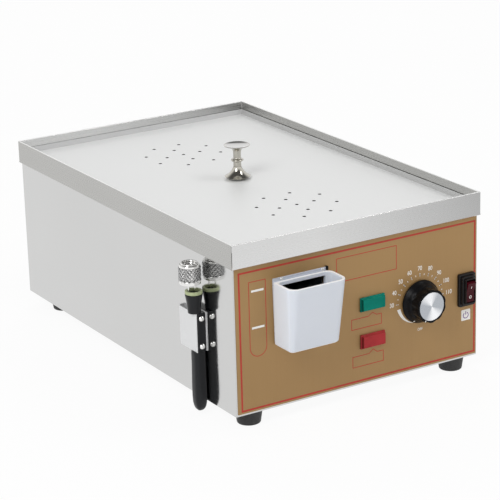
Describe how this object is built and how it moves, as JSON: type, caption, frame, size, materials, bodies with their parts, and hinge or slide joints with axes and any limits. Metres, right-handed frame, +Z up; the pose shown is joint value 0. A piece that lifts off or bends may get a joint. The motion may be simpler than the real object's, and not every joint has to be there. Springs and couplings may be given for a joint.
{
  "type": "bun steamer",
  "caption": "Table-top electric bun steamer: steel cabinet, lift-off vented steam plate with a knob, front water box, thermostat dial, lamps, rocker switch and a side lifter.",
  "frame": {"origin": "On the worktop, under the middle of the cabinet's plan", "axes": "X to the right along the front, Y from the front to the back, Z up; the control panel faces -Y"},
  "size_m": [0.3231, 0.5153, 0.217],
  "materials": {
    "steel": "polished sheet steel",
    "tank_steel": "dull brushed",
    "chrome": "bright plated",
    "fascia": "satin bronze-gold print",
    "plate_blue": "satin blue-grey",
    "box_white": "translucent white moulding",
    "black_plastic": "glossy black moulding",
    "black_rubber": "matt black",
    "aluminium": "spun",
    "lens_green": "clear green lens",
    "lens_red": "clear red lens",
    "rocker_red": "dark red moulding",
    "brass": "machined",
    "heater_steel": "heat-tinted tube",
    "grey_plastic": "moulded",
    "olive_plastic": "moulded"
  },
  "bodies": {
    "cabinet": {"back_panel": "steel", "base_plate": "steel", "bay_cover": "tank_steel", "box_back_plate": "plate_blue", "box_latch": "black_plastic", "box_screws": "chrome", "bulb": "brass", "bulb_gland": "brass", "cable_gland": "black_plastic", "cable_gland_nut": "black_plastic", "capillary": "brass", "fascia": "fascia", "feet": "black_rubber", "foot_nuts": "chrome", "foot_screws": "chrome", "front_plate": "steel", "heater_bushes": "brass", "heater_nuts": "brass", "heater_terminals": "brass", "heating_tube": "heater_steel", "inlet_duct": "tank_steel", "lamp_green_body": "grey_plastic", "lamp_green_lens": "lens_green", "lamp_red_body": "grey_plastic", "lamp_red_lens": "lens_red", "panel_screws": "chrome", "side_clip": "steel", "side_panel_left": "steel", "side_panel_right": "steel", "switch_body": "black_plastic", "switch_boot": "black_rubber", "tank": "tank_steel", "terminal_block": "grey_plastic", "thermostat": "grey_plastic", "thermostat_screws": "chrome", "top_rim": "steel", "water_box": "box_white"},
    "lid": {"lid_pan": "steel", "lid_knob": "chrome", "lid_screw": "chrome", "lid_washer": "chrome"},
    "dial": {"dial_knob": "black_plastic", "dial_cap": "aluminium", "thermostat_shaft": "chrome"},
    "rocker": {"power_rocker": "rocker_red"},
    "lifter": {"lifter_bail": "chrome", "lifter_collar": "black_plastic", "lifter_grip": "black_plastic", "lifter_head": "chrome", "lifter_neck": "black_plastic", "lifter_prongs": "chrome", "lifter_ring": "olive_plastic", "lifter_rivets": "chrome"}
  },
  "joints": [
    {"name": "lid_lift", "type": "slide", "parent": "cabinet", "child": "lid", "axis": [0, 0, 1], "range_m": [0, 0.12]},
    {"name": "dial_turn", "type": "hinge", "parent": "cabinet", "child": "dial", "pos_m": [0.07486, -0.2318, 0.0897], "axis": [0, 1, 0], "range_deg": [0, 266]},
    {"name": "rocker_tip", "type": "hinge", "parent": "cabinet", "child": "rocker", "pos_m": [0.1333, -0.2358, 0.0906], "axis": [-1, 0, 0], "range_deg": [0, 20]},
    {"name": "lifter_draw", "type": "slide", "parent": "cabinet", "child": "lifter", "axis": [0, -1, 0], "range_m": [0, 0.08]}
  ]
}
